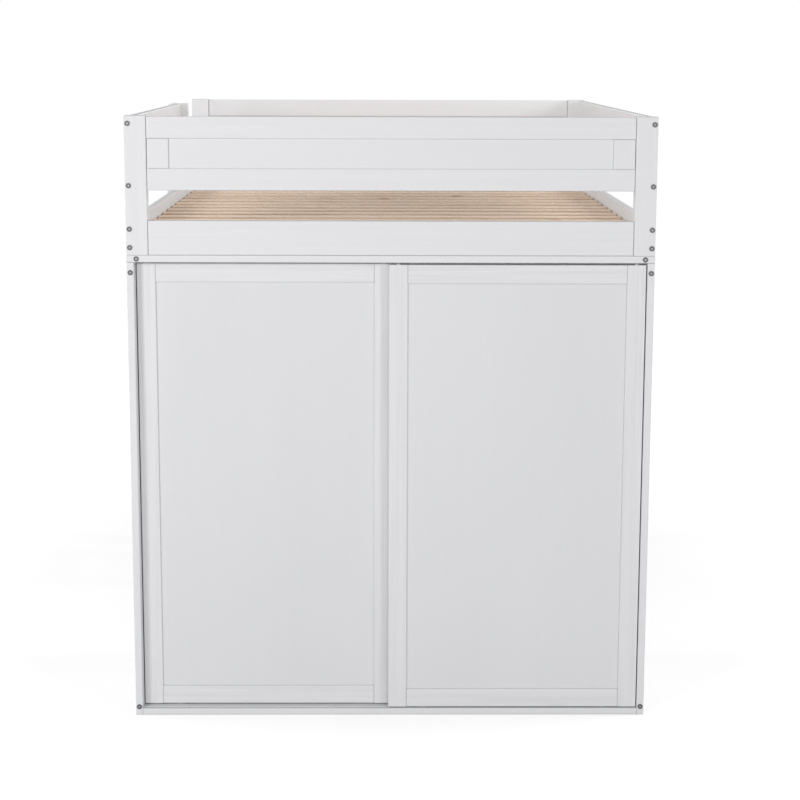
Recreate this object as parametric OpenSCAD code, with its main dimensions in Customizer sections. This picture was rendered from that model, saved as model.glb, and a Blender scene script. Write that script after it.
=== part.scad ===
// Loft bed with a wardrobe behind two sliding doors, seen from its end
// Lengths are millimetres, +Z is up, +X is to the right facing the doors, -Y is the door end
// The origin is on the floor, in the middle of the whole outline

/* [Bedstead] */
// Width over the posts
bed_w = 1460; // [1380:10:1560]
// Length over the posts
bed_l = 2000; // [1900:10:2200]
// Height of the post tops
bed_h = 1705; // [1500:5:2000]
// Width of a post, seen from the end
post_w = 60; // [50:1:80]
// Depth of a post, along the bed
post_d = 40; // [30:1:50]
// Thickness of the rails, the guards, the legs and the wardrobe sides
board_t = 20; // [18:0.5:22]
// Depth of the legs, the headers and the sill, along the bed
leg_d = 60; // [58:1:80]
// Width of the flat rails that join the two headers
long_rail_w = 60; // [50:1:80]
// Height of the bed rails
rail_h = 95; // [85:1:110]
// Height of the aprons between the wardrobe and the far legs
apron_h = 60; // [50:1:90]
// How far the end boards sit back from the post faces
set_in = 2; // [0:0.5:4]
// Radius of the eased long edges of the boards
edge_r = 2.5; // [1:0.5:3]

/* [Guards] */
// Height of a guard
guard_h = 201; // [180:1:220]
// Width of the guard rails and stiles
guard_w = 60; // [45:1:65]
// How far the guards' tops sit below the post tops
guard_drop = 2; // [1:0.5:10]
// Gap between a guard and the bed rail under it
guard_gap = 83; // [40:1:110]
// Thickness of the panels in the guards and doors
panel_t = 9; // [6:0.5:10]
// Depth of the panel grooves, and of the tongues in them
groove_d = 8; // [6:0.5:12]
// Length of the tenons at the ends of the end boards
tenon_l = 15; // [10:1:20]
// Shadow gap between the end boards and the posts
post_gap = 1; // [0.5:0.1:2]
// Shoulder above and below those tenons
shoulder = 10; // [6:1:14]

/* [Bed base] */
// Number of slats
slat_count = 15; // [10:1:18]
// Width of a slat
slat_w = 70; // [50:1:80]
// Thickness of a slat
slat_t = 15; // [12:0.5:18]
// Gap between a slat's end and the bed rail
slat_gap = 4; // [2:0.5:8]
// Height of the ledgers and the centre beam under the slats
ledger_h = 44; // [36:1:46]
// Thickness of the ledgers and of the cleat inside the guard's free end
ledger_t = 20; // [18:0.5:24]
// Width of the centre beam
beam_w = 30; // [24:1:50]

/* [Ladder] */
// Width over the ladder
ladder_w = 400; // [320:5:440]
// Depth of a ladder stile, out from the bed
ladder_d = 34; // [34:1:60]
// Thickness of a ladder stile
ladder_t = 30; // [24:0.5:40]
// Opening between the far post and the guard's free end
entry_w = 540; // [500:5:600]
// Radius of the rounded corner at the top of a ladder stile
ladder_r = 25; // [8:1:30]
// Number of treads
tread_count = 5; // [3:1:6]
// Height of the bed rails' undersides above the top tread
tread_drop = 49; // [48:1:70]
// Depth of a tread
tread_w = 30; // [24:1:32]
// Thickness of a tread
tread_t = 20; // [16:0.5:26]
// How deep the treads are housed in the stiles
tread_in = 6; // [4:0.5:10]

/* [Wardrobe] */
// Depth of the wardrobe from the near end
wardrobe_d = 600; // [450:10:650]
// Thickness of the wardrobe's back
back_t = 12; // [8:0.5:15]
// Thickness of the floor and the sill
floor_t = 18; // [16:0.5:22]
// Height of the space above the shelf, with the shelf
shelf_down = 224; // [150:2:400]
// Thickness of the shelf
shelf_t = 18; // [12:0.5:22]
// Depth of the housings that hold the shelf, the back and the floor
housing_d = 6; // [4:0.5:9]
// Thickness of the tongues on the floor, the sill and the stretcher
tongue_t = 8; // [6:0.5:9]
// Height of the stretcher's lower edge at the far end
stretcher_z = 150; // [80:5:600]
// Height of the stretcher
stretcher_h = 60; // [50:1:95]
// Distance from the shelf's underside down to the hanging rail's axis
hang_drop = 60; // [45:5:100]
// Diameter of the hanging rail
hang_d = 25; // [19:0.5:32]
// Wall of the hanging rail's tube
hang_wall = 1.5; // [1:0.1:3]
// Thickness of the round flanges that carry the hanging rail
flange_t = 5; // [3:0.5:6]
// How far the cups on those flanges reach over the hanging rail
cup_l = 10; // [8:1:15]
// Wall of those cups
cup_wall = 2.5; // [1.5:0.5:4]

/* [Doors] */
// Thickness of a door
door_t = 20; // [18:0.5:21]
// Width of the door stiles and rails
door_frame_w = 53; // [48:1:70]
// How much the closed doors overlap
door_overlap = 12; // [6:1:50]
// Gap between a door and the leg beside it
door_gap = 2; // [1.5:0.5:6]
// Gap between a door and the sill
sill_gap = 2.5; // [2:0.1:3]
// Gap between a door and the header
header_gap = 6; // [5:0.1:7]
// How far the right door's face sits back from the legs' faces
door_in = 8; // [6:0.5:8]
// Gap between the two doors
pass_gap = 12; // [6:0.5:12]

/* [Running gear] */
// Outer width of the channel tracks
track_w = 7; // [6.6:0.1:8]
// Wall of the channel tracks
track_wall = 1; // [0.8:0.1:1]
// Height of the lower tracks, which are let into the sill
low_track_h = 5; // [4:0.1:6]
// Height of the upper tracks, which are let into the headers
up_track_h = 6; // [5.5:0.1:6.2]
// How far the upper tracks end short of the legs
track_end = 18; // [17:0.5:20]
// Diameter of a roller
roller_d = 20; // [18:0.5:22]
// Width of a roller
roller_w = 4; // [3:0.1:4.2]
// Gap under a roller
roller_gap = 0.3; // [0.1:0.05:0.6]
// Gap on each side of a roller in its housing
roller_side = 0.4; // [0.2:0.1:0.6]
// Diameter of a roller's axle
axle_d = 3; // [2.5:0.1:3.5]
// Gap around an axle in its bearing
bearing_gap = 0.05; // [0.02:0.01:0.1]
// Distance from a door's edge to its roller
roller_in = 100; // [80:1:150]
// Length of a roller housing
house_l = 44; // [36:1:56]
// Width of a roller housing
house_w = 14; // [12:0.5:14]
// Height of a roller housing
house_h = 22; // [21:0.5:30]
// Diameter of a door guide's pin
pin_d = 4.4; // [3.6:0.1:4.4]
// Length of a door guide above its collar
pin_up = 7.5; // [6.5:0.1:8]
// Length of a door guide in the door
pin_in = 20; // [12:1:30]
// Diameter of a door guide's collar
collar_d = 10; // [8:0.5:14]
// Thickness of a door guide's collar
collar_t = 1.5; // [1:0.1:2]

/* [Fasteners] */
// Diameter of the bolts
bolt_d = 6; // [5:0.5:7]
// How far a bolt reaches into the board it pulls on
bolt_bite = 50; // [40:1:60]
// Diameter of a bolt head
head_d = 14.5; // [12:0.5:16]
// Height of a bolt head
head_h = 2.5; // [2:0.1:4]
// Width across the flats of the socket in a bolt head
socket_af = 5; // [4:0.5:6]
// Depth of that socket
socket_d = 2; // [1:0.1:3]
// Diameter of a barrel nut
nut_d = 10; // [9:0.5:11]
// Length of a barrel nut
nut_l = 14; // [12:0.5:14]
// Distance from a barrel nut's axis to the bolt's tip
nut_back = 10; // [8:1:14]
// Upper guard bolt below the guard's top
guard_bolt_up = 19; // [14:1:24]
// Lower guard bolt above the guard's underside
guard_bolt_low = 13; // [12:1:22]
// Upper rail bolt below the bed rail's top
rail_bolt_up = 23; // [16:1:30]
// Lower rail bolt above the bed rail's underside
rail_bolt_low = 21; // [20:1:30]
// Header bolt in from the outer face of the bed
header_bolt_in = 27; // [24:1:34]
// Upper leg bolt below the leg's top
leg_bolt_up = 28; // [26:1:34]
// Lower leg bolt above the floor
leg_bolt_low = 24; // [22:1:60]
// Distance of the cleat's bolts above and below the middle of the guard
cleat_bolt_off = 24; // [12:1:30]
// Lower ladder bolt below the apron's top
ladder_bolt_low = 14; // [12:1:15]
// Diameter of the steel pins that stand the posts on the headers and legs
stand_pin_d = 8; // [6:0.5:8]
// How far those pins reach into the legs and into the posts
stand_pin_l = 14; // [8:1:16]
// Diameter of the wood screws
screw_d = 4.5; // [3.5:0.1:5]
// Length of the wood screws
screw_l = 35; // [28:1:36]
// Number of screws in each ledger, and in each flat rail
screw_count = 5; // [3:1:7]

/* [Fits] */
// Gap around tongues, tenons, panels and tracks in their grooves
fit_gap = 0.2; // [0.1:0.05:0.4]
// Gap around a bolt in its hole
bolt_gap = 0.3; // [0.1:0.05:0.5]
// Gap around a nut, a screw, a pin or a thread in its hole
pin_gap = 0.1; // [0.05:0.05:0.2]

/* [Hidden] */
$fn = 48;
cut = 1;
white = [0.92, 0.91, 0.89];
white_panel = [0.89, 0.88, 0.86];
pine = [0.87, 0.78, 0.66];
steel = [0.5, 0.5, 0.5];
chrome = [0.75, 0.76, 0.78];
plastic = [0.85, 0.85, 0.84];

// Outer faces, middle planes and inner faces of the side boards, from the bed's middle
side_x = bed_w / 2;
side_mid = side_x - board_t / 2;
side_in = side_x - board_t;
post_in = side_x - post_w;

// Half the length of the boards between the posts
end_reach = post_in - post_gap;

// Heights, from the post tops down to the headers, which carry the posts and bed rails
guard_top = bed_h - guard_drop;
guard_z = guard_top - guard_h;
rail_top = guard_z - guard_gap;
deck_z = rail_top - rail_h;
head_z = deck_z - board_t;
shelf_z = head_z - shelf_down;
hang_z = shelf_z - hang_drop;
ledger_top = deck_z + ledger_h;
slat_top = ledger_top + slat_t;
guard_bolts = [guard_z + guard_bolt_low, guard_top - guard_bolt_up];
rail_bolts = [deck_z + rail_bolt_low, rail_top - rail_bolt_up];

// The guard's free end, and the ladder whose near stile holds it
guard_end = bed_l - post_d - entry_w;
ladder_half = ladder_w / 2;
ladder_mid = guard_end - ladder_t + ladder_half;
tread_pitch = (deck_z - tread_drop) / tread_count;
ladder_bolt_l = board_t + ladder_d - nut_back;
ledger_bolt_l = ledger_t + ladder_bolt_l;

// The doors, from the floor up, and the planes their middles run in
track_floor = floor_t - low_track_h + track_wall;
roller_z = track_floor + roller_gap + roller_d / 2;
door_z = floor_t + sill_gap;
door_top = head_z - header_gap;
door_h = door_top - door_z;
door_w = side_in - door_gap + door_overlap / 2;
front_mid = door_in + door_t / 2;
back_mid = front_mid + door_t + pass_gap;

// Carries the bed's own middle, which the ladder moves off the outline's middle
module bed() {
    translate([ladder_d / 2, -bed_l / 2, 0])
        children();
}

module both_sides() {
    for (side = [0, 1])
        mirror([side, 0, 0])
            children();
}

module far_end() {
    translate([0, bed_l, 0])
        mirror([0, 1, 0])
            children();
}

module eased(w, h) {
    translate([edge_r, 0])
        square([w - 2 * edge_r, h]);
    translate([0, edge_r])
        square([w, h - 2 * edge_r]);
    for (x = [edge_r, w - edge_r], y = [edge_r, h - edge_r])
        translate([x, y])
            circle(edge_r);
}

// Boards between two corners, with the long edges eased
module board_x(a, b) {
    translate(a)
        rotate([90, 0, 90])
            linear_extrude(b.x - a.x)
                eased(b.y - a.y, b.z - a.z);
}

module board_y(a, b) {
    translate([a.x, b.y, a.z])
        rotate([90, 0, 0])
            linear_extrude(b.y - a.y)
                eased(b.x - a.x, b.z - a.z);
}

module board_z(a, b) {
    translate(a)
        linear_extrude(b.z - a.z)
            eased(b.x - a.x, b.y - a.y);
}

// A plain block between two corners
module block(a, b) {
    translate(a)
        cube(b - a);
}

// Fasteners point along +Z from the face under their heads
module bolt(reach) {
    difference() {
        union() {
            translate([0, 0, -head_h])
                cylinder(d = head_d, h = head_h);
            cylinder(d = bolt_d, h = reach);
        }
        translate([0, 0, -head_h - cut])
            cylinder(d = socket_af / cos(30), h = socket_d + cut, $fn = 6);
    }
}

module barrel_nut(reach) {
    translate([0, 0, reach - nut_back])
        difference() {
            rotate([0, 90, 0])
                cylinder(d = nut_d, h = nut_l, center = true);
            cylinder(d = bolt_d + 2 * pin_gap, h = 2 * nut_d, center = true);
        }
}

// The hole for a bolt, and for its nut in a board of thickness t, open on one side
module bolt_bore(reach, t = board_t) {
    translate([0, 0, -cut])
        cylinder(d = bolt_d + 2 * bolt_gap, h = reach + 2 * cut);
    translate([nut_l / 2, 0, reach - nut_back])
        rotate([0, -90, 0])
            cylinder(d = nut_d + 2 * pin_gap, h = nut_l / 2 + t / 2 + cut);
}

module screw(gap = 0) {
    head = screw_d / 2;
    cylinder(d1 = 4 * head + 2 * gap, d2 = screw_d + 2 * gap, h = head);
    cylinder(d = screw_d + 2 * gap, h = screw_l + gap);
}

// Places of the fasteners, in the near right corner, and elsewhere by mirroring
module post_bolt_sites(heights) {
    for (z = heights)
        translate([side_mid, 0, z])
            rotate([-90, 0, 0])
                children();
}

module header_bolt_site() {
    translate([side_x - header_bolt_in, 0, head_z + board_t / 2])
        rotate([-90, 0, 0])
            rotate([0, 0, -90])
                children();
}

// Bolts to the ladder, through the apron, and above it through the slat ledger and the bed rail
module ladder_sites(x, z) {
    for (end = [0, 1])
        translate([x, ladder_mid, z])
            mirror([0, end, 0])
                translate([0, -ladder_half + ladder_t / 2, 0])
                    rotate([0, -90, 0])
                        rotate([0, 0, -90])
                            children();
}

module ladder_bolt_sites() {
    ladder_sites(-side_in, head_z - ladder_bolt_low)
        children();
}

module ledger_bolt_sites() {
    ladder_sites(-side_in + ledger_t, deck_z + ledger_h / 2)
        children();
}

module stand_pin_site() {
    translate([side_mid, post_d / 2, head_z - stand_pin_l])
        children();
}

module long_rail_screw_sites() {
    for (k = [0 : screw_count - 1])
        translate([side_mid, bed_l * (k + 0.4) / screw_count, deck_z])
            rotate([180, 0, 0])
                children();
}

module ledger_screw_sites() {
    for (k = [0 : screw_count - 1])
        translate([side_in - ledger_t, bed_l * (k + 0.3) / screw_count, deck_z + ledger_h / 2])
            rotate([0, 90, 0])
                children();
}

// Bolts through the cleat and the guard into the ladder's near stile, and the cleat's own screws
module cleat_sites(y, off) {
    for (z = [guard_z + off, guard_top - off])
        translate([-side_in + ledger_t, guard_end - y, z])
            rotate([0, -90, 0])
                children();
}

module cleat_bolt_sites() {
    cleat_sites(ladder_t / 2, guard_h / 2 - cleat_bolt_off)
        rotate([0, 0, -90])
            children();
}

module cleat_screw_sites() {
    cleat_sites(guard_w - ladder_t / 2, guard_w / 2)
        children();
}

// A framed panel of length l and height h lies from the origin, with its face on y = 0
// Two boards run its full length, two cross boards stand between them, w wide, t thick
module frame_slot(a, b, t) {
    translate([a.x, t / 2 - panel_t / 2 - fit_gap, a.y])
        cube([b.x - a.x, panel_t + 2 * fit_gap, b.y - a.y]);
}

module frame_tongue(a, b, t) {
    translate([a.x, t / 2 - panel_t / 2, a.y])
        cube([b.x - a.x, panel_t, b.y - a.y]);
}

module run_boards(l, h, w, t) {
    difference() {
        for (z = [0, h - w])
            board_x([0, 0, z], [l, t, z + w]);
        frame_slot([-cut, w - groove_d], [l + cut, h - w + groove_d], t);
    }
}

module cross_boards(l, h, w, t) {
    reach = groove_d - fit_gap;
    difference() {
        for (x = [0, l - w]) {
            board_z([x, 0, w], [x + w, t, h - w]);
            frame_tongue([x, w - reach], [x + w, h - w + reach], t);
        }
        frame_slot([w - groove_d, 0], [l - w + groove_d, h], t);
    }
}

module frame_panel(l, h, w, t) {
    reach = groove_d - fit_gap;
    frame_tongue([w - reach, w - groove_d], [l - w + reach, h - w + reach], t);
}

// Tenons at both ends of an end board, or the mortises for them with a gap
module end_tenons(z, h, gap = 0) {
    y = set_in + board_t / 2 - panel_t / 2;
    block([end_reach - gap, y - gap, z + shoulder - gap],
          [post_in + tenon_l + gap, y + panel_t + gap, z + h - shoulder + gap]);
}

// Places of the three kinds of guard
module end_guard_place() {
    translate([-end_reach, set_in, guard_z])
        children();
}

module right_guard_place() {
    translate([side_x, post_d, guard_z])
        rotate([0, 0, 90])
            children();
}

module left_guard_place() {
    translate([-side_in, post_d, guard_z])
        rotate([0, 0, 90])
            children();
}

// Posts, with holes for the bolts at the given heights
module post(heights) {
    difference() {
        board_z([post_in, 0, deck_z], [side_x, post_d, bed_h]);
        end_tenons(deck_z, rail_h, fit_gap);
        for (z = [guard_z, guard_top - guard_w])
            end_tenons(z, guard_w, fit_gap);
        post_bolt_sites(heights)
            bolt_bore(post_d + bolt_bite);
        stand_pin_site()
            stand_pin(pin_gap);
    }
}

module near_posts() {
    color(white) bed()
        both_sides()
            post(concat(rail_bolts, guard_bolts));
}

module far_posts() {
    color(white) bed()
        far_end() {
            post(concat(rail_bolts, guard_bolts));
            mirror([1, 0, 0])
                post(rail_bolts);
        }
}

module stand_pin(gap = 0) {
    translate([0, 0, -gap])
        cylinder(d = stand_pin_d + 2 * gap, h = board_t + 2 * stand_pin_l + 2 * gap);
}

module stand_pins() {
    color(steel) bed()
        both_sides() {
            stand_pin_site() stand_pin();
            far_end() stand_pin_site() stand_pin();
        }
}

// Guards
module end_guard_rails() {
    end_guard_place()
        run_boards(2 * end_reach, guard_h, guard_w, board_t);
    both_sides()
        for (z = [guard_z, guard_top - guard_w])
            end_tenons(z, guard_w);
}

module near_guard_rails() {
    color(white) bed()
        end_guard_rails();
}

module near_guard_stiles() {
    color(white) bed()
        end_guard_place()
            cross_boards(2 * end_reach, guard_h, guard_w, board_t);
}

module near_guard_panel() {
    color(white_panel) bed()
        end_guard_place()
            frame_panel(2 * end_reach, guard_h, guard_w, board_t);
}

module far_guard_rails() {
    color(white) bed()
        far_end()
            end_guard_rails();
}

module far_guard_stiles() {
    color(white) bed()
        far_end()
            end_guard_place()
                cross_boards(2 * end_reach, guard_h, guard_w, board_t);
}

module far_guard_panel() {
    color(white_panel) bed()
        far_end()
            end_guard_place()
                frame_panel(2 * end_reach, guard_h, guard_w, board_t);
}

module left_guard_rails() {
    color(white) bed()
        difference() {
            left_guard_place()
                run_boards(guard_end - post_d, guard_h, guard_w, board_t);
            mirror([1, 0, 0])
                post_bolt_sites(guard_bolts)
                    bolt_bore(post_d + bolt_bite);
            cleat_screw_sites()
                screw(pin_gap);
        }
}

module left_guard_stiles() {
    color(white) bed()
        difference() {
            left_guard_place()
                cross_boards(guard_end - post_d, guard_h, guard_w, board_t);
            cleat_bolt_sites()
                bolt_bore(ledger_bolt_l, ladder_t);
        }
}

module left_guard_panel() {
    color(white_panel) bed()
        left_guard_place()
            frame_panel(guard_end - post_d, guard_h, guard_w, board_t);
}

module right_guard_rails() {
    color(white) bed()
        difference() {
            right_guard_place()
                run_boards(bed_l - 2 * post_d, guard_h, guard_w, board_t);
            post_bolt_sites(guard_bolts)
                bolt_bore(post_d + bolt_bite);
            far_end()
                post_bolt_sites(guard_bolts)
                    bolt_bore(post_d + bolt_bite);
        }
}

module right_guard_stiles() {
    color(white) bed()
        right_guard_place()
            cross_boards(bed_l - 2 * post_d, guard_h, guard_w, board_t);
}

module right_guard_panel() {
    color(white_panel) bed()
        right_guard_place()
            frame_panel(bed_l - 2 * post_d, guard_h, guard_w, board_t);
}

// Cleat inside the left guard's free end, bolted through the guard to the ladder
module guard_cleat() {
    color(white) bed()
        difference() {
            block([-side_in, guard_end - guard_w, guard_z],
                  [-side_in + ledger_t, guard_end, guard_top]);
            cleat_bolt_sites()
                bolt_bore(ledger_bolt_l, ladder_t);
            cleat_screw_sites()
                screw(pin_gap);
        }
}

// Bed rails and bed base
module end_bed_rail() {
    board_x([-end_reach, set_in, deck_z], [end_reach, set_in + board_t, rail_top]);
    both_sides()
        end_tenons(deck_z, rail_h);
}

module near_bed_rail() {
    color(white) bed()
        end_bed_rail();
}

module far_bed_rail() {
    color(white) bed()
        far_end()
            end_bed_rail();
}

module side_bed_rail() {
    difference() {
        board_y([side_in, post_d, deck_z], [side_x, bed_l - post_d, rail_top]);
        post_bolt_sites(rail_bolts)
            bolt_bore(post_d + bolt_bite);
        far_end()
            post_bolt_sites(rail_bolts)
                bolt_bore(post_d + bolt_bite);
        ledger_screw_sites()
            screw(pin_gap);
    }
}

module left_bed_rail() {
    color(white) bed()
        difference() {
            mirror([1, 0, 0])
                side_bed_rail();
            ledger_bolt_sites()
                bolt_bore(ledger_bolt_l, ladder_t);
        }
}

module right_bed_rail() {
    color(white) bed()
        side_bed_rail();
}

module slat_ledgers() {
    color(pine) bed()
        difference() {
            both_sides()
                difference() {
                    board_y([side_in - ledger_t, post_d, deck_z],
                            [side_in, bed_l - post_d, ledger_top]);
                    ledger_screw_sites()
                        screw(pin_gap);
                }
            ledger_bolt_sites()
                bolt_bore(ledger_bolt_l, ladder_t);
        }
}

module centre_beam() {
    color(pine) bed()
        board_y([-beam_w / 2, set_in + board_t, deck_z],
                [beam_w / 2, bed_l - set_in - board_t, ledger_top]);
}

module slats() {
    first = post_d + set_in;
    pitch = (bed_l - 2 * first - slat_w) / (slat_count - 1);
    half = side_in - slat_gap;
    color(pine) bed()
        for (k = [0 : slat_count - 1])
            board_x([-half, first + k * pitch, ledger_top],
                    [half, first + k * pitch + slat_w, slat_top]);
}

// Ladder on the left side: its near stile holds the guard's free end, and its far one stops at the rail
module ladder_place() {
    translate([-side_x - ladder_d, ladder_mid, 0])
        children();
}

module ladder_stile_face(top) {
    difference() {
        square([ladder_d, top]);
        translate([0, top - ladder_r])
            difference() {
                square(ladder_r);
                translate([ladder_r, 0])
                    circle(ladder_r);
            }
    }
}

// Opposite corners of a tread, or of the room housed for it with a gap
function tread_reach(gap) = ladder_half - ladder_t + tread_in + gap;
function tread_low(k, gap = 0) =
    [ladder_d / 2 - tread_w / 2 - gap, -tread_reach(gap), k * tread_pitch - tread_t - gap];
function tread_high(k, gap = 0) =
    [ladder_d / 2 + tread_w / 2 + gap, tread_reach(gap), k * tread_pitch + gap];

module ladder_stiles() {
    color(white) bed()
        difference() {
            ladder_place()
                for (end = [0, 1])
                    mirror([0, end, 0])
                        translate([0, ladder_half, 0])
                            rotate([90, 0, 0])
                                linear_extrude(ladder_t)
                                    ladder_stile_face(end == 0 ? rail_top : bed_h);
            ladder_place()
                for (k = [1 : tread_count])
                    block(tread_low(k, fit_gap), tread_high(k, fit_gap));
            ladder_bolt_sites()
                bolt_bore(ladder_bolt_l, ladder_t);
            ledger_bolt_sites()
                bolt_bore(ledger_bolt_l, ladder_t);
            cleat_bolt_sites()
                bolt_bore(ledger_bolt_l, ladder_t);
        }
}

module ladder_treads() {
    color(white) bed()
        ladder_place()
            for (k = [1 : tread_count])
                board_y(tread_low(k), tread_high(k));
}

// Lower frame
module leg_blank() {
    board_z([side_in, 0, 0], [side_x, leg_d, head_z]);
}

module near_legs() {
    color(white) bed()
        both_sides()
            difference() {
                leg_blank();
                sill_blank(fit_gap);
                post_bolt_sites([leg_bolt_low, head_z - leg_bolt_up])
                    bolt_bore(leg_d + bolt_bite);
                stand_pin_site()
                    stand_pin(pin_gap);
            }
}

module far_legs() {
    color(white) bed()
        far_end()
            both_sides()
                difference() {
                    leg_blank();
                    stretcher_tongue(fit_gap);
                    post_bolt_sites([head_z - leg_bolt_up])
                        bolt_bore(leg_d + bolt_bite);
                    stand_pin_site()
                        stand_pin(pin_gap);
                }
}

module header() {
    difference() {
        board_x([-side_x, 0, head_z], [side_x, leg_d, deck_z]);
        both_sides() {
            header_bolt_site()
                bolt_bore(leg_d + bolt_bite);
            stand_pin_site()
                stand_pin(pin_gap);
        }
    }
}

module near_header() {
    half = side_in - track_end;
    color(white) bed()
        difference() {
            header();
            for (y = [front_mid, back_mid])
                block([-half - fit_gap, y - track_w / 2 - fit_gap, head_z - cut],
                      [half + fit_gap, y + track_w / 2 + fit_gap, head_z + up_track_h]);
        }
}

module far_header() {
    color(white) bed()
        far_end()
            header();
}

module long_rails() {
    color(white) bed()
        both_sides()
            difference() {
                board_y([side_x - long_rail_w, leg_d, head_z],
                        [side_x, bed_l - leg_d, deck_z]);
                header_bolt_site()
                    bolt_bore(leg_d + bolt_bite);
                far_end()
                    header_bolt_site()
                        bolt_bore(leg_d + bolt_bite);
                long_rail_screw_sites()
                    screw(pin_gap);
            }
}

module side_apron() {
    difference() {
        board_y([side_in, wardrobe_d, head_z - apron_h], [side_x, bed_l - leg_d, head_z]);
        far_end()
            post_bolt_sites([head_z - leg_bolt_up])
                bolt_bore(leg_d + bolt_bite);
        long_rail_screw_sites()
            screw(pin_gap);
    }
}

module side_aprons() {
    color(white) bed() {
        side_apron();
        difference() {
            mirror([1, 0, 0])
                side_apron();
            ladder_bolt_sites()
                bolt_bore(ladder_bolt_l, ladder_t);
        }
    }
}

module stretcher_tongue(gap = 0) {
    y = leg_d / 2 - tongue_t / 2;
    reach = side_in + housing_d;
    block([-reach - gap, y - gap, stretcher_z + shoulder - gap],
          [reach + gap, y + tongue_t + gap, stretcher_z + stretcher_h - shoulder + gap]);
}

module far_stretcher() {
    color(white) bed()
        far_end() {
            board_x([-side_in, leg_d / 2 - board_t / 2, stretcher_z],
                    [side_in, leg_d / 2 + board_t / 2, stretcher_z + stretcher_h]);
            stretcher_tongue();
        }
}

// The sill with its tongues, or the room for them with a gap
module sill_blank(gap = 0) {
    reach = side_in + housing_d;
    z = floor_t / 2 - tongue_t / 2;
    block([-reach - gap, shoulder - gap, z - gap],
          [reach + gap, leg_d - shoulder + gap, z + tongue_t + gap]);
}

module sill() {
    color(white) bed()
        difference() {
            union() {
                board_x([-side_in, 0, 0], [side_in, leg_d, floor_t]);
                sill_blank();
            }
            for (y = [front_mid, back_mid])
                block([-side_in, y - track_w / 2 - fit_gap, floor_t - low_track_h],
                      [side_in, y + track_w / 2 + fit_gap, floor_t + cut]);
        }
}

// Wardrobe
module back_board(gap = 0) {
    reach = side_in + housing_d - fit_gap;
    y = wardrobe_d - housing_d - back_t;
    block([-reach - gap, y - gap, 0], [reach + gap, y + back_t + gap, head_z]);
}

module floor_board(gap = 0) {
    reach = side_in + housing_d - fit_gap;
    z = floor_t / 2 - tongue_t / 2;
    block([-reach - gap, leg_d, z - gap],
          [reach + gap, wardrobe_d - housing_d - back_t - gap, z + tongue_t + gap]);
}

module shelf_board(gap = 0) {
    reach = side_in + housing_d - fit_gap;
    block([-reach - gap, leg_d + shoulder - gap, shelf_z],
          [reach + gap, wardrobe_d - housing_d - back_t, shelf_z + shelf_t + gap]);
}

module wardrobe_side() {
    difference() {
        board_z([side_in, leg_d, 0], [side_x, wardrobe_d, head_z]);
        back_board(fit_gap);
        floor_board(fit_gap);
        shelf_board(fit_gap);
        post_bolt_sites([leg_bolt_low, head_z - leg_bolt_up])
            bolt_bore(leg_d + bolt_bite);
        long_rail_screw_sites()
            screw(pin_gap);
    }
}

module wardrobe_left_side() {
    color(white) bed()
        mirror([1, 0, 0])
            wardrobe_side();
}

module wardrobe_right_side() {
    color(white) bed()
        wardrobe_side();
}

module wardrobe_back() {
    color(white_panel) bed()
        back_board();
}

module wardrobe_floor() {
    color(white) bed() {
        floor_board();
        block([-side_in, leg_d, 0],
              [side_in, wardrobe_d - housing_d - back_t, floor_t]);
    }
}

module wardrobe_shelf() {
    color(white) bed()
        shelf_board();
}

module hang_place() {
    translate([0, wardrobe_d / 2, hang_z])
        rotate([0, 90, 0])
            children();
}

module hanging_rail() {
    long = 2 * (side_in - flange_t - fit_gap);
    color(chrome) bed()
        hang_place()
            difference() {
                cylinder(d = hang_d, h = long, center = true);
                cylinder(d = hang_d - 2 * hang_wall, h = long + cut, center = true);
            }
}

// A round flange on the wardrobe's side with a cup for the hanging rail
module rail_brackets() {
    color(chrome) bed()
        both_sides()
            hang_place()
                translate([0, 0, side_in - flange_t])
                    difference() {
                        union() {
                            cylinder(d = 2 * hang_d, h = flange_t);
                            translate([0, 0, -cup_l])
                                cylinder(d = hang_d + 2 * cup_wall, h = cup_l);
                        }
                        translate([0, 0, -cup_l - cut])
                            cylinder(d = hang_d + 2 * fit_gap, h = cup_l + cut);
                    }
}

// Channel tracks, open upwards in the sill and downwards in the header
module channel(half, h) {
    difference() {
        block([-half, -track_w / 2, 0], [half, track_w / 2, h]);
        block([-half - cut, -track_w / 2 + track_wall, track_wall],
              [half + cut, track_w / 2 - track_wall, h + cut]);
    }
}

module lower_tracks() {
    color(plastic) bed()
        for (y = [front_mid, back_mid])
            translate([0, y, floor_t - low_track_h])
                channel(side_in, low_track_h);
}

module upper_tracks() {
    color(plastic) bed()
        for (y = [front_mid, back_mid])
            translate([0, y, head_z + up_track_h])
                mirror([0, 0, 1])
                    channel(side_in - track_end, up_track_h);
}

// A door stands with its left edge and its face on the origin
module left_door() {
    translate([-side_in + door_gap, back_mid - door_t / 2, door_z])
        children();
}

module right_door() {
    translate([side_in - door_gap - door_w, front_mid - door_t / 2, door_z])
        children();
}

// The frame of a door turned upright, so that its stiles run the full height
module upright() {
    translate([door_w, 0, 0])
        rotate([0, -90, 0])
            children();
}

module guide_sites() {
    for (x = [door_frame_w / 2, door_w - door_frame_w / 2])
        translate([x, door_t / 2, door_h])
            children();
}

module roller_sites() {
    for (x = [roller_in, door_w - roller_in])
        translate([x, door_t / 2, roller_z - door_z])
            children();
}

module door_stiles() {
    difference() {
        upright()
            run_boards(door_h, door_w, door_frame_w, door_t);
        guide_sites()
            translate([0, 0, -pin_in - pin_gap])
                cylinder(d = pin_d + 2 * pin_gap, h = pin_in + 2 * cut);
    }
}

module door_rails() {
    difference() {
        upright()
            cross_boards(door_h, door_w, door_frame_w, door_t);
        roller_sites()
            house_block(fit_gap);
    }
}

module door_panel() {
    reach = groove_d - fit_gap;
    w = door_frame_w;
    frame_tongue([w - reach, w - groove_d], [door_w - w + reach, door_h - w + reach], door_t);
}

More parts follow.
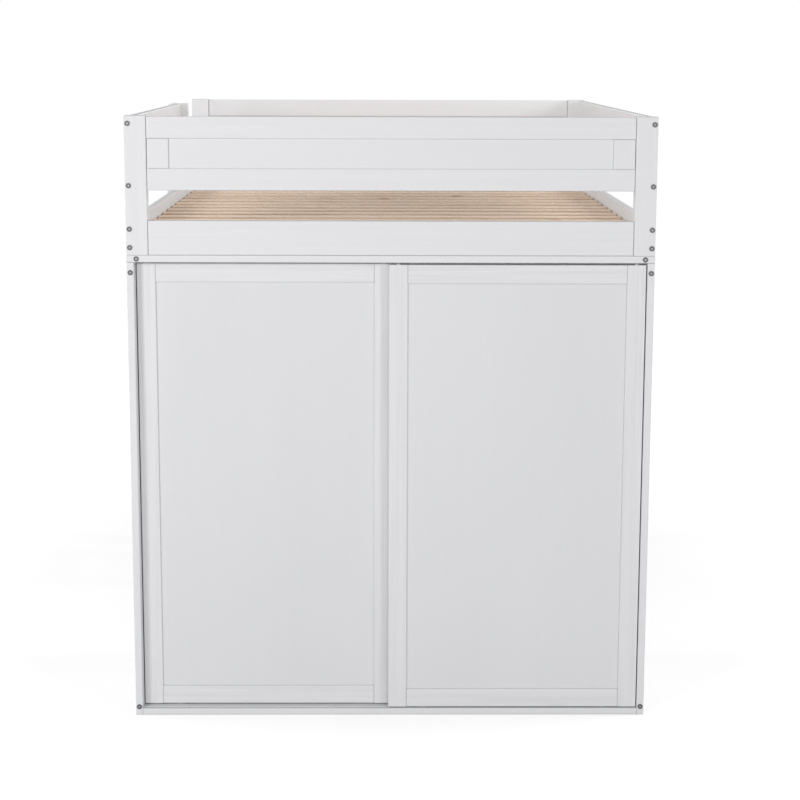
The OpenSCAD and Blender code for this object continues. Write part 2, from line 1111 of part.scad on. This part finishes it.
module door_guides() {
    guide_sites() {
        cylinder(d = collar_d, h = collar_t);
        translate([0, 0, -pin_in])
            cylinder(d = pin_d, h = pin_in + collar_t + pin_up);
    }
}

module house_block(gap = 0) {
    z = door_z - roller_z;
    block([-house_l / 2 - gap, -house_w / 2 - gap, z - gap],
          [house_l / 2 + gap, house_w / 2 + gap, z + house_h]);
}

module door_housings() {
    half = roller_w / 2 + roller_side;
    roller_sites()
        difference() {
            house_block();
            block([-roller_d / 2 - cut, -half, -roller_d],
                  [roller_d / 2 + cut, half, roller_d / 2 + cut]);
            rotate([90, 0, 0])
                cylinder(d = axle_d + 2 * bearing_gap, h = 2 * house_w, center = true);
        }
}

module roller() {
    rotate([90, 0, 0]) {
        cylinder(d = roller_d, h = roller_w, center = true);
        cylinder(d = axle_d, h = house_w - 2 * roller_side, center = true);
    }
}

module roller_at(x) {
    translate([x, door_t / 2, roller_z - door_z])
        roller();
}

module left_door_stiles() {
    color(white) bed()
        left_door() door_stiles();
}

module left_door_rails() {
    color(white) bed() left_door() door_rails();
}

module left_door_panel() {
    color(white_panel) bed() left_door() door_panel();
}

module left_door_guides() {
    color(plastic) bed() left_door() door_guides();
}

module left_door_housings() {
    color(plastic) bed() left_door() door_housings();
}

module left_door_roller_1() {
    color(plastic) bed() left_door() roller_at(roller_in);
}

module left_door_roller_2() {
    color(plastic) bed() left_door() roller_at(door_w - roller_in);
}

module right_door_stiles() {
    color(white) bed() right_door() door_stiles();
}

module right_door_rails() {
    color(white) bed() right_door() door_rails();
}

module right_door_panel() {
    color(white_panel) bed() right_door() door_panel();
}

module right_door_guides() {
    color(plastic) bed() right_door() door_guides();
}

module right_door_housings() {
    color(plastic) bed() right_door() door_housings();
}

module right_door_roller_1() {
    color(plastic) bed() right_door() roller_at(roller_in);
}

module right_door_roller_2() {
    color(plastic) bed() right_door() roller_at(door_w - roller_in);
}

// Fasteners, each size at all its places
module bolts() {
    color(steel) bed() {
        both_sides() {
            post_bolt_sites(concat(rail_bolts, guard_bolts)) bolt(post_d + bolt_bite);
            post_bolt_sites([leg_bolt_low, head_z - leg_bolt_up]) bolt(leg_d + bolt_bite);
            header_bolt_site() bolt(leg_d + bolt_bite);
            far_end() {
                post_bolt_sites(rail_bolts) bolt(post_d + bolt_bite);
                post_bolt_sites([head_z - leg_bolt_up]) bolt(leg_d + bolt_bite);
                header_bolt_site() bolt(leg_d + bolt_bite);
            }
        }
        far_end() post_bolt_sites(guard_bolts) bolt(post_d + bolt_bite);
        ladder_bolt_sites() bolt(ladder_bolt_l);
        ledger_bolt_sites() bolt(ledger_bolt_l);
        cleat_bolt_sites() bolt(ledger_bolt_l);
    }
}

module barrel_nuts() {
    color(steel) bed() {
        both_sides() {
            post_bolt_sites(concat(rail_bolts, guard_bolts)) barrel_nut(post_d + bolt_bite);
            post_bolt_sites([leg_bolt_low, head_z - leg_bolt_up]) barrel_nut(leg_d + bolt_bite);
            header_bolt_site() barrel_nut(leg_d + bolt_bite);
            far_end() {
                post_bolt_sites(rail_bolts) barrel_nut(post_d + bolt_bite);
                post_bolt_sites([head_z - leg_bolt_up]) barrel_nut(leg_d + bolt_bite);
                header_bolt_site() barrel_nut(leg_d + bolt_bite);
            }
        }
        far_end() post_bolt_sites(guard_bolts) barrel_nut(post_d + bolt_bite);
        ladder_bolt_sites() barrel_nut(ladder_bolt_l);
        ledger_bolt_sites() barrel_nut(ledger_bolt_l);
        cleat_bolt_sites() barrel_nut(ledger_bolt_l);
    }
}

module screws() {
    color(steel) bed() {
        both_sides() {
            long_rail_screw_sites() screw();
            ledger_screw_sites() screw();
        }
        cleat_screw_sites() screw();
    }
}

near_posts();
far_posts();
stand_pins();
near_guard_rails();
near_guard_stiles();
near_guard_panel();
far_guard_rails();
far_guard_stiles();
far_guard_panel();
left_guard_rails();
left_guard_stiles();
left_guard_panel();
right_guard_rails();
right_guard_stiles();
right_guard_panel();
guard_cleat();
near_bed_rail();
far_bed_rail();
left_bed_rail();
right_bed_rail();
slat_ledgers();
centre_beam();
slats();
ladder_stiles();
ladder_treads();
near_legs();
far_legs();
near_header();
far_header();
long_rails();
side_aprons();
far_stretcher();
sill();
wardrobe_left_side();
wardrobe_right_side();
wardrobe_back();
wardrobe_floor();
wardrobe_shelf();
hanging_rail();
rail_brackets();
upper_tracks();
lower_tracks();
left_door_stiles();
left_door_rails();
left_door_panel();
left_door_guides();
left_door_housings();
left_door_roller_1();
left_door_roller_2();
right_door_stiles();
right_door_rails();
right_door_panel();
right_door_guides();
right_door_housings();
right_door_roller_1();
right_door_roller_2();
bolts();
barrel_nuts();
screws();
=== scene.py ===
"""Loft bed with a wardrobe behind two sliding doors: materials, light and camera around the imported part."""
import math

import bpy
from mathutils import Matrix, Vector

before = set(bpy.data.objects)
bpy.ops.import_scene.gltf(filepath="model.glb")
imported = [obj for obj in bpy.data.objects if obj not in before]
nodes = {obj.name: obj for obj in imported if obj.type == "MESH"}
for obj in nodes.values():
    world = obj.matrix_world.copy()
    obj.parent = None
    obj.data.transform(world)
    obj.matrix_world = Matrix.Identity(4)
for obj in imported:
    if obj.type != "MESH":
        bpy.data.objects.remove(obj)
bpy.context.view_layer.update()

X, Y, Z = range(3)
AXIS_NAMES = "xyz"

# ------------------------------------------------------------ node helpers


def node(tree, kind, **values):
    """A new node, with each value set on its input of that name or else on its own setting."""
    n = tree.nodes.new(kind)
    for key, value in values.items():
        if key in n.inputs.keys():
            n.inputs[key].default_value = value
        else:
            setattr(n, key, value)
    return n


def start(name):
    """A new node material, its tree and its shader."""
    m = bpy.data.materials.new(name)
    m.use_nodes = True
    tree = m.node_tree
    tree.nodes.clear()
    out = node(tree, "ShaderNodeOutputMaterial")
    shader = node(tree, "ShaderNodeBsdfPrincipled")
    tree.links.new(shader.outputs["BSDF"], out.inputs["Surface"])
    return m, tree, shader


def stretched(axis, along, across):
    """Scale of a pattern that runs along axis."""
    s = [across] * 3
    s[axis] = along
    return s


def coords(tree, scale, offset=(0, 0, 0)):
    """Object coordinates, stretched by scale."""
    tex = node(tree, "ShaderNodeTexCoord")
    mapping = node(tree, "ShaderNodeMapping", Scale=scale, Location=offset)
    tree.links.new(tex.outputs["Object"], mapping.inputs["Vector"])
    return mapping.outputs["Vector"]


def noise(tree, vector, scale=1.0, detail=3.0, rough=0.5):
    n = node(tree, "ShaderNodeTexNoise", Scale=scale, Detail=detail, Roughness=rough)
    tree.links.new(vector, n.inputs["Vector"])
    return n.outputs["Fac"]


def knots(tree, vector):
    """Distance to the nearest of some scattered points, for the knots in a board."""
    n = node(tree, "ShaderNodeTexVoronoi", feature="F1", Scale=1.0)
    tree.links.new(vector, n.inputs["Vector"])
    return n.outputs["Distance"]


def ramp(tree, fac, stops):
    """stops is a list of (place, value or colour)."""
    n = node(tree, "ShaderNodeValToRGB")
    elements = n.color_ramp.elements
    while len(elements) < len(stops):
        elements.new(0.5)
    for element, (place, value) in zip(elements, stops):
        element.position = place
        c = value if hasattr(value, "__len__") else (value, value, value)
        element.color = (*c, 1)
    tree.links.new(fac, n.inputs["Fac"])
    return n.outputs["Color"]


def mix(tree, fac, a, b, how="MIX"):
    """Mix of two colours or sockets; fac is a number or a socket."""
    n = node(tree, "ShaderNodeMix", data_type="RGBA", blend_type=how)
    ins = {s.identifier: s for s in n.inputs}
    for key, value in (("Factor_Float", fac), ("A_Color", a), ("B_Color", b)):
        if isinstance(value, bpy.types.NodeSocket):
            tree.links.new(value, ins[key])
        elif key == "Factor_Float":
            ins[key].default_value = value
        else:
            ins[key].default_value = (*value, 1)
    return next(s for s in n.outputs if s.identifier == "Result_Color")


def rounded(tree, radius):
    """The surface's normal, with its edges rounded by radius."""
    return node(tree, "ShaderNodeBevel", samples=4, Radius=radius).outputs["Normal"]


def edge_mask(tree, soft_normal):
    """Near 1 along the edges that soft_normal rounds, 0 elsewhere."""
    geometry = node(tree, "ShaderNodeNewGeometry")
    dot = node(tree, "ShaderNodeVectorMath", operation="DOT_PRODUCT")
    tree.links.new(soft_normal, dot.inputs[0])
    tree.links.new(geometry.outputs["Normal"], dot.inputs[1])
    return ramp(tree, dot.outputs["Value"], [(0.86, 1.0), (0.985, 0.0)])


def hollow(tree, reach, stops):
    """Ambient occlusion within reach as a value: near 0 deep in a joint or recess, 1 on open faces; a mask for
    painting shade or highlight into colour.
    """
    shade = node(tree, "ShaderNodeAmbientOcclusion", samples=8, Distance=reach)
    return ramp(tree, shade.outputs["AO"], stops)


def up_facing_mask(tree):
    """Near 1 on faces that look straight up: the mask for the painted shade that darkens top faces, and for
    their duller gloss.
    """
    geometry = node(tree, "ShaderNodeNewGeometry")
    parts = node(tree, "ShaderNodeSeparateXYZ")
    tree.links.new(geometry.outputs["True Normal"], parts.inputs[0])
    return ramp(tree, parts.outputs["Z"], [(0.75, 0.0), (0.95, 1.0)])


def bump(tree, height, strength, distance, normal=None):
    n = node(tree, "ShaderNodeBump", Strength=strength, Distance=distance)
    tree.links.new(height, n.inputs["Height"])
    if normal is not None:
        tree.links.new(normal, n.inputs["Normal"])
    return n.outputs["Normal"]


def looked_at(tree):
    """1 for rays that show a thing, straight or in a gloss or glass, and 0 for rays that light one."""
    path = node(tree, "ShaderNodeLightPath")
    total = path.outputs["Is Camera Ray"]
    for ray in ("Is Glossy Ray", "Is Transmission Ray"):
        either = node(tree, "ShaderNodeMath", operation="MAXIMUM")
        tree.links.new(total, either.inputs[0])
        tree.links.new(path.outputs[ray], either.inputs[1])
        total = either.outputs[0]
    return total


# ---------------------------------------------------------------- materials


def paint(name, axis, shades, stroke=0.07, grain=0.0, top_shade_share=0.80):
    """Brushed satin paint on wood whose grain runs along axis.

    shades are its light and dark patches, stroke the relief of the brush, grain how much of the wood shows
    through, and the last argument the share of the dark shade painted on faces that look up, a painted shade
    on the tops.
    """
    light, dark = shades
    m, tree, shader = start(name)
    strokes = noise(tree, coords(tree, stretched(axis, 3, 130)), detail=4.0, rough=0.6)
    cloud = noise(tree, coords(tree, stretched(axis, 0.6, 3)))
    tone = mix(tree, ramp(tree, cloud, [(0.35, 0.0), (0.65, 1.0)]), dark, light)
    fine = ramp(tree, strokes, [(0.3, 0.96), (0.7, 1.0)])
    tone = mix(tree, 0.35, tone, fine, "MULTIPLY")

    figure = noise(tree, coords(tree, stretched(axis, 1.7, 75), (2, 7, 4)), detail=4.0, rough=0.6)
    tone = mix(tree, grain, tone, ramp(tree, figure, [(0.38, 0.87), (0.56, 1.0)]), "MULTIPLY")
    knot = knots(tree, coords(tree, stretched(axis, 2.3, 6.4), (1, 3, 2)))
    tone = mix(tree, grain, tone, ramp(tree, knot, [(0.05, 0.90), (0.12, 1.0)]), "MULTIPLY")

    # Painted shade: the colour is darkened where joints, recesses and inner corners are occluded.
    painted_seam_shade = hollow(tree, 0.005, [(0.12, 0.42), (0.55, 1.0)])
    tone = mix(tree, 1.0, tone, painted_seam_shade, "MULTIPLY")
    soft_normal = rounded(tree, 0.0022)
    speck = noise(tree, coords(tree, stretched(axis, 12, 40)), detail=5.0, rough=0.7)
    patchy = ramp(tree, speck, [(0.5, 0.0), (0.75, 1.0)])
    worn = mix(tree, patchy, (0, 0, 0), edge_mask(tree, soft_normal))
    tone = mix(tree, worn, tone, [c * 0.86 for c in dark])
    # Painted shade: faces that look up get a darker colour, and also a rougher, duller gloss.
    top_shade_and_matt = up_facing_mask(tree)
    tone = mix(tree, top_shade_and_matt, tone, [c * top_shade_share for c in dark])
    tree.links.new(tone, shader.inputs["Base Color"])

    satin = ramp(tree, cloud, [(0.3, 0.50), (0.7, 0.62)])
    tree.links.new(mix(tree, top_shade_and_matt, satin, (1, 1, 1)), shader.inputs["Roughness"])
    tree.links.new(ramp(tree, top_shade_and_matt, [(0.0, 0.5), (1.0, 0.05)]), shader.inputs["Specular IOR Level"])
    tree.links.new(bump(tree, strokes, stroke, 0.0006, soft_normal), shader.inputs["Normal"])
    shader.inputs["IOR"].default_value = 1.45
    return m


PINE_BANDS = [(0.32, (0.70, 0.51, 0.36)), (0.5, (0.80, 0.61, 0.46)), (0.68, (0.85, 0.67, 0.52))]
PINE_KNOT = (0.42, 0.26, 0.15)


def pine(name, axis):
    """Bare planed pine: early and late wood in long bands, a few knots."""
    m, tree, shader = start(name)
    where = coords(tree, stretched(axis, 1.2, 26))
    bend = noise(tree, coords(tree, stretched(axis, 1.5, 6), (3, 1, 2)), detail=2.0)
    shift = node(tree, "ShaderNodeVectorMath", operation="ADD")
    tree.links.new(where, shift.inputs[0])
    tree.links.new(bend, shift.inputs[1])
    bands = noise(tree, shift.outputs["Vector"], scale=1.6, detail=4.0, rough=0.55)
    tone = ramp(tree, bands, PINE_BANDS)

    fibre = noise(tree, coords(tree, stretched(axis, 9, 420)), rough=0.6)
    tone = mix(tree, 0.4, tone, ramp(tree, fibre, [(0.3, 0.88), (0.6, 1.0)]), "MULTIPLY")
    knot = knots(tree, coords(tree, stretched(axis, 3.1, 8.3)))
    tone = mix(tree, ramp(tree, knot, [(0.045, 1.0), (0.10, 0.0)]), tone, PINE_KNOT)
    patch = noise(tree, coords(tree, stretched(axis, 0.9, 2.2), (5, 5, 5)), detail=2.0)
    tone = mix(tree, 0.5, tone, ramp(tree, patch, [(0.35, 0.88), (0.65, 1.0)]), "MULTIPLY")
    tree.links.new(tone, shader.inputs["Base Color"])

    tree.links.new(ramp(tree, fibre, [(0.3, 0.62), (0.7, 0.78)]), shader.inputs["Roughness"])
    tree.links.new(bump(tree, fibre, 0.15, 0.0005, rounded(tree, 0.0015)), shader.inputs["Normal"])
    return m


def metal(name, light, dark, rough, scratch=0.12, painted_socket_highlight=None):
    """Plated or polished metal with fine scratches and dulled patches; the optional last argument is a lighter
    colour painted into its hollows as a painted highlight.
    """
    m, tree, shader = start(name)
    grime = noise(tree, coords(tree, (55, 55, 55)), detail=4.0, rough=0.65)
    tone = mix(tree, ramp(tree, grime, [(0.35, 0.0), (0.65, 1.0)]), dark, light)
    # Painted highlight: a lighter colour where the metal is hollow, as in the bolt sockets.
    if painted_socket_highlight is not None:
        tone = mix(tree, hollow(tree, 0.004, [(0.5, 0.0), (0.75, 1.0)]), painted_socket_highlight, tone)
    tree.links.new(tone, shader.inputs["Base Color"])
    dull = min(1, rough * 1.6 + 0.03)
    tree.links.new(ramp(tree, grime, [(0.3, rough), (0.7, dull)]), shader.inputs["Roughness"])
    shader.inputs["Metallic"].default_value = 1.0
    lines = noise(tree, coords(tree, (900, 120, 900)), detail=2.0)
    tree.links.new(bump(tree, lines, scratch, 0.0001), shader.inputs["Normal"])
    return m


def moulded(name, light, dark):
    """Matte plastic with a fine grained surface."""
    m, tree, shader = start(name)
    cloud = noise(tree, coords(tree, (30, 30, 30)))
    pebble = noise(tree, coords(tree, (1400, 1400, 1400)), detail=2.0)
    tree.links.new(mix(tree, cloud, dark, light), shader.inputs["Base Color"])
    tree.links.new(ramp(tree, cloud, [(0.3, 0.45), (0.7, 0.6)]), shader.inputs["Roughness"])
    tree.links.new(bump(tree, pebble, 0.12, 0.0002), shader.inputs["Normal"])
    return m


# Light and dark shade of each white paint
FRAME_SHADES = (0.80, 0.80, 0.815), (0.785, 0.785, 0.80)
DOOR_SHADES = (0.795, 0.795, 0.81), (0.78, 0.78, 0.795)
GUARD_PANEL_SHADES = (0.79, 0.79, 0.805), (0.77, 0.77, 0.785)
DOOR_PANEL_SHADES = (0.765, 0.765, 0.78), (0.745, 0.745, 0.76)
SMOOTH = 0.05
FAINT_GRAIN, DOOR_GRAIN = 0.12, 0.4
# Share of the dark shade painted on the tops of the side rails and wardrobe boards: a weaker painted shade.
FAINT_TOP_SHADE = 0.96


def along(axes, make, name, *args, **more):
    """One material for each of the axes that its grain can run along."""
    return {axis: make(f"{name}_{AXIS_NAMES[axis]}", axis, *args, **more) for axis in axes}


white = along((X, Y, Z), paint, "white_paint", FRAME_SHADES, grain=FAINT_GRAIN)
door_white = along((X, Z), paint, "door_paint", DOOR_SHADES, grain=DOOR_GRAIN)
guard_panel = along((X, Y), paint, "guard_panel_paint", GUARD_PANEL_SHADES, SMOOTH)
door_panel = paint("door_panel_paint", Z, DOOR_PANEL_SHADES, SMOOTH)
side_rail = paint("side_rail_paint", Y, FRAME_SHADES, grain=FAINT_GRAIN, top_shade_share=FAINT_TOP_SHADE)
wardrobe_board = paint("wardrobe_board_paint", X, FRAME_SHADES, SMOOTH, top_shade_share=FAINT_TOP_SHADE)
bare = along((X, Y), pine, "pine")
# The zinc bolt heads carry a painted highlight in their sockets.
zinc = metal("zinc", (0.13, 0.13, 0.135), (0.09, 0.09, 0.095), 0.42, painted_socket_highlight=(0.45, 0.45, 0.46))
polished = metal("polished_tube", (0.80, 0.81, 0.83), (0.70, 0.71, 0.73), 0.08, scratch=0.04)
nylon = moulded("nylon", (0.80, 0.80, 0.79), (0.74, 0.74, 0.73))

UPRIGHT = {"near_posts", "far_posts", "near_legs", "far_legs", "guard_cleat", "wardrobe_left_side",
           "wardrobe_right_side"}
LENGTHWISE = {"left_guard_rails", "right_guard_rails", "long_rails", "side_aprons", "ladder_treads"}


def finish_of(name):
    """Blender material and the record's slot for a CAD node."""
    if name in ("slats", "slat_ledgers", "centre_beam"):
        return bare[X if name == "slats" else Y], "pine"
    if name in ("bolts", "barrel_nuts", "screws", "stand_pins"):
        return zinc, "steel"
    if name in ("hanging_rail", "rail_brackets"):
        return polished, "chrome"
    if any(word in name for word in ("track", "roller", "guides", "housings")):
        return nylon, "plastic"
    if name in ("left_guard_panel", "right_guard_panel"):
        return guard_panel[Y], "painted_panel"
    if name in ("left_door_panel", "right_door_panel", "wardrobe_back"):
        return door_panel, "painted_panel"
    if name.endswith("panel"):
        return guard_panel[X], "painted_panel"
    if name in ("wardrobe_floor", "wardrobe_shelf"):
        return wardrobe_board, "painted_wood"
    if name in ("left_bed_rail", "right_bed_rail"):
        return side_rail, "painted_wood"
    if name.endswith(("door_rails", "door_stiles")):
        return door_white[Z if "stiles" in name else X], "painted_wood"
    if name in UPRIGHT or "stiles" in name:
        return white[Z], "painted_wood"
    return white[Y if name in LENGTHWISE else X], "painted_wood"


for name, piece in nodes.items():
    look, record_slot = finish_of(name)
    piece.data.materials.clear()
    piece.data.materials.append(look)

# ------------------------------------------------------------------- light


def aim(name, lamp, place, target):
    o = bpy.data.objects.new(name, lamp)
    o.location = place
    o.rotation_euler = (Vector(target) - Vector(place)).to_track_quat("-Z", "Y").to_euler()
    bpy.context.scene.collection.objects.link(o)


def area_light(name, place, target, size, power):
    """size in metres, power in watts."""
    lamp = bpy.data.lights.new(name, "AREA")
    lamp.shape = "RECTANGLE"
    lamp.size, lamp.size_y = size
    lamp.energy = power
    aim(name, lamp, place, target)


def sun(name, place, strength, angle):
    """Shines from place towards the origin; angle is its width in degrees."""
    lamp = bpy.data.lights.new(name, "SUN")
    lamp.energy = strength
    lamp.angle = math.radians(angle)
    aim(name, lamp, place, (0, 0, 0))


area_light("left_softbox", (-2.4, -4.5, 2.0), (-0.2, -1.0, 0.9), (1.0, 1.0), 62)
area_light("right_softbox", (2.8, -4.8, 2.1), (0.3, -1.0, 1.2), (1.0, 1.0), 37)
sun("front_fill", (0.1, -6.0, 0.9), 0.62, 25)
area_light("top_softbox", (0.0, -0.1, 3.4), (0.0, -0.1, 1.4), (1.8, 1.8), 6)
area_light("left_wing", (-4.2, -0.1, 2.75), (0.0, 0.1, 1.65), (1.6, 0.8), 56)
area_light("right_wing", (4.2, -0.1, 2.75), (0.0, 0.1, 1.65), (1.6, 0.8), 70)
sun("back_fill", (0.3, 6.0, 0.7), 1.25, 40)

ROOM_LIGHT = 0.345
WHITE_LEVEL = 1.0


def studio():
    """A world that is seen as white and lights the object at the room's level."""
    world = bpy.data.worlds.new("studio")
    world.use_nodes = True
    tree = world.node_tree
    tree.nodes.clear()
    out = node(tree, "ShaderNodeOutputWorld")
    seen = node(tree, "ShaderNodeBackground", Color=(1, 1, 1, 1), Strength=WHITE_LEVEL)
    lit = node(tree, "ShaderNodeBackground", Color=(0.985, 0.99, 1.0, 1), Strength=ROOM_LIGHT)
    choose = node(tree, "ShaderNodeMixShader")
    tree.links.new(looked_at(tree), choose.inputs["Fac"])
    tree.links.new(lit.outputs["Background"], choose.inputs[1])
    tree.links.new(seen.outputs["Background"], choose.inputs[2])
    tree.links.new(choose.outputs["Shader"], out.inputs["Surface"])
    return world


bpy.context.scene.world = studio()

# ------------------------------------------------------------------- floor

FLOOR_REACH, FLOOR_DROP = 40.0, 0.001
FLOOR_COLOUR = (0.46, 0.46, 0.46, 1)
# How much the floor is lifted towards white where it is seen: less near the object, where the lamps reach it
FLOOR_LIFT = (("From Min", 1.2), ("From Max", 3.6), ("To Min", 0.62), ("To Max", 0.81))


def pale_floor():
    """Matt floor that is seen as white and keeps the object's shadow."""
    pale = bpy.data.materials.new("pale_floor")
    pale.use_nodes = True
    tree = pale.node_tree
    tree.nodes.clear()
    out = node(tree, "ShaderNodeOutputMaterial")
    matt = node(tree, "ShaderNodeBsdfDiffuse", Color=FLOOR_COLOUR)
    place = node(tree, "ShaderNodeTexCoord")
    away = node(tree, "ShaderNodeVectorMath", operation="LENGTH")
    tree.links.new(place.outputs["Object"], away.inputs[0])
    lift = node(tree, "ShaderNodeMapRange", **dict(FLOOR_LIFT))
    tree.links.new(away.outputs["Value"], lift.inputs["Value"])
    shown = node(tree, "ShaderNodeMath", operation="MULTIPLY")
    tree.links.new(looked_at(tree), shown.inputs[0])
    tree.links.new(lift.outputs[0], shown.inputs[1])
    glow = node(tree, "ShaderNodeEmission")
    tree.links.new(shown.outputs[0], glow.inputs["Strength"])
    both = node(tree, "ShaderNodeAddShader")
    tree.links.new(matt.outputs[0], both.inputs[0])
    tree.links.new(glow.outputs[0], both.inputs[1])
    tree.links.new(both.outputs[0], out.inputs["Surface"])
    return pale


sheet = bpy.data.meshes.new("floor")
corners = [(x * FLOOR_REACH, y * FLOOR_REACH, -FLOOR_DROP) for x, y in ((-1, -1), (1, -1), (1, 1), (-1, 1))]
sheet.from_pydata(corners, [], [(0, 1, 2, 3)])
sheet.materials.append(pale_floor())
floor = bpy.data.objects.new("floor", sheet)
bpy.context.scene.collection.objects.link(floor)

# ------------------------------------------------------------------ camera

YAW, PITCH, ROLL = (math.radians(a) for a in (0.63, 10.11, 0.18))
EYE = (-0.016, -6.335, 1.871)
FOCAL_PIXELS, IMAGE_PIXELS = 1938, 800
SENSOR_MM = 36
forward = Vector((math.sin(YAW) * math.cos(PITCH), math.cos(YAW) * math.cos(PITCH), -math.sin(PITCH)))
level = Vector((math.cos(YAW), -math.sin(YAW), 0))
over = level.cross(forward)
right = math.cos(ROLL) * level + math.sin(ROLL) * over
up = -math.sin(ROLL) * level + math.cos(ROLL) * over
camera = bpy.data.cameras.new("camera")
camera.sensor_width = SENSOR_MM
camera.lens = SENSOR_MM * FOCAL_PIXELS / IMAGE_PIXELS
camera.clip_end = 60
eye = bpy.data.objects.new("camera", camera)
eye.matrix_world = Matrix.Translation(EYE) @ Matrix((right, up, -forward)).transposed().to_4x4()
bpy.context.scene.collection.objects.link(eye)
bpy.context.scene.camera = eye
bpy.context.scene.view_settings.view_transform = "Standard"
